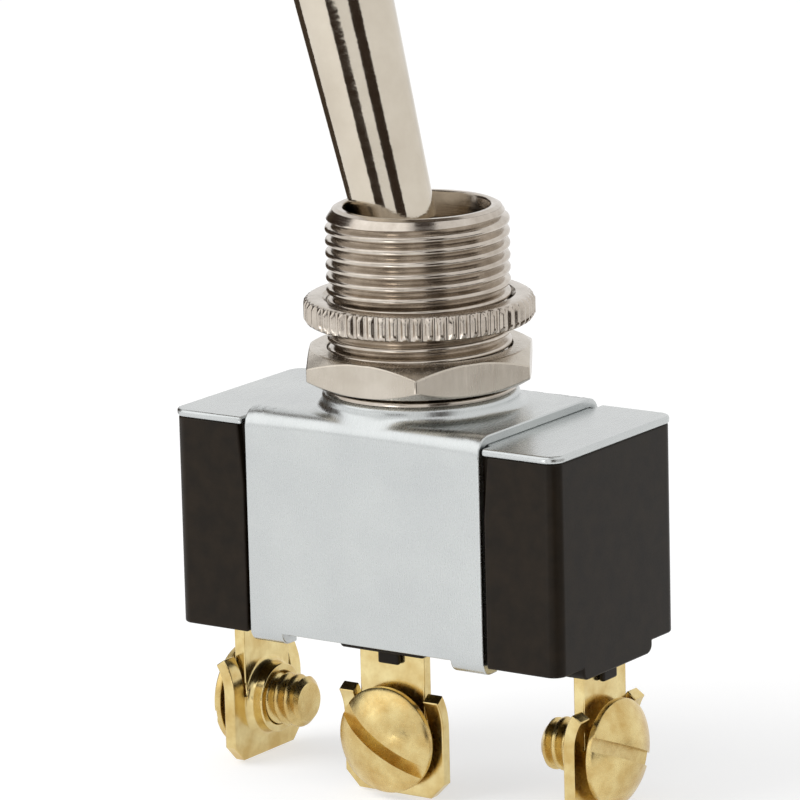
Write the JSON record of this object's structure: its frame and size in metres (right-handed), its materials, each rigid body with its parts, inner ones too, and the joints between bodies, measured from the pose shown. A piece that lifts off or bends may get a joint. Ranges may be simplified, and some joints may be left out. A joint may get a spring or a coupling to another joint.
{
  "type": "toggle switch",
  "caption": "Panel toggle switch: bat lever in a threaded bushing with two nuts, a folded steel strap round a dark moulded base, and brass screw terminals.",
  "frame": {"origin": "on the bushing's axis, at the flat top face of the steel strap", "axes": "+Z out of the bushing, +X along the base's long side, -Y towards the front, where the centre terminal's screw faces"},
  "size_m": [0.032, 0.015, 0.0558],
  "materials": {
    "nickel": "polished nickel plate on brass",
    "zinc_steel": "bright zinc plate on sheet steel",
    "phenolic": "dark moulded phenolic, slight gloss",
    "brass": "bright formed brass",
    "fibre": "hard fibre sheet",
    "steel": "plain steel",
    "nylon": "moulded nylon",
    "copper": "rolled copper alloy",
    "silver": "fine silver"
  },
  "bodies": {
    "housing": {"base": "phenolic", "insulator": "fibre", "cover_plate": "zinc_steel", "strap": "zinc_steel", "bushing": "nickel", "terminal_left": "brass", "terminal_centre": "brass", "terminal_right": "brass", "fixed_contact_left": "silver", "fixed_contact_right": "silver"},
    "lever_arm": {"lever": "nickel", "pivot_pin": "steel", "plunger_spring": "steel"},
    "plunger_tip": {"plunger": "nylon"},
    "rocker_arm": {"rocker": "copper", "rocker_contact_left": "silver", "rocker_contact_right": "silver"},
    "hex_nut_body": {"hex_nut": "nickel"},
    "ring_nut_body": {"ring_nut": "nickel"},
    "screw_left_body": {"screw_left": "brass"},
    "screw_centre_body": {"screw_centre": "brass"},
    "screw_right_body": {"screw_right": "brass"}
  },
  "joints": [
    {"name": "lever_tilt", "type": "hinge", "parent": "housing", "child": "lever_arm", "pos_m": [0, 0, 0.0053], "axis": [0, 1, 0], "range_deg": [0, 28.6]},
    {"name": "plunger_slide", "type": "slide", "parent": "lever_arm", "child": "plunger_tip", "axis": [-0.247, 0, 0.969], "range_m": [0, 0.0009], "stiffness_N_per_m": 800, "deforming": ["plunger_spring"]},
    {"name": "rocker_tilt", "type": "hinge", "parent": "housing", "child": "rocker_arm", "pos_m": [0, 0, -0.00937], "axis": [0, 1, 0], "range_deg": [-16, 0]},
    {"name": "hex_nut_travel", "type": "slide", "parent": "housing", "child": "hex_nut_body", "axis": [0, 0, 1], "range_m": [0, 0.0009]},
    {"name": "ring_nut_travel", "type": "slide", "parent": "housing", "child": "ring_nut_body", "axis": [0, 0, 1], "range_m": [-0.0005, 0.0058]},
    {"name": "screw_left_travel", "type": "slide", "parent": "housing", "child": "screw_left_body", "axis": [-1, 0, 0], "range_m": [-0.00025, 0.002]},
    {"name": "screw_centre_travel", "type": "slide", "parent": "housing", "child": "screw_centre_body", "axis": [0, -1, 0], "range_m": [-0.00025, 0.002]},
    {"name": "screw_right_travel", "type": "slide", "parent": "housing", "child": "screw_right_body", "axis": [1, 0, 0], "range_m": [-0.00025, 0.002]}
  ],
  "couplings": [
    {"joint": "rocker_tilt", "follows": "lever_tilt", "ratio": -0.5594}
  ]
}
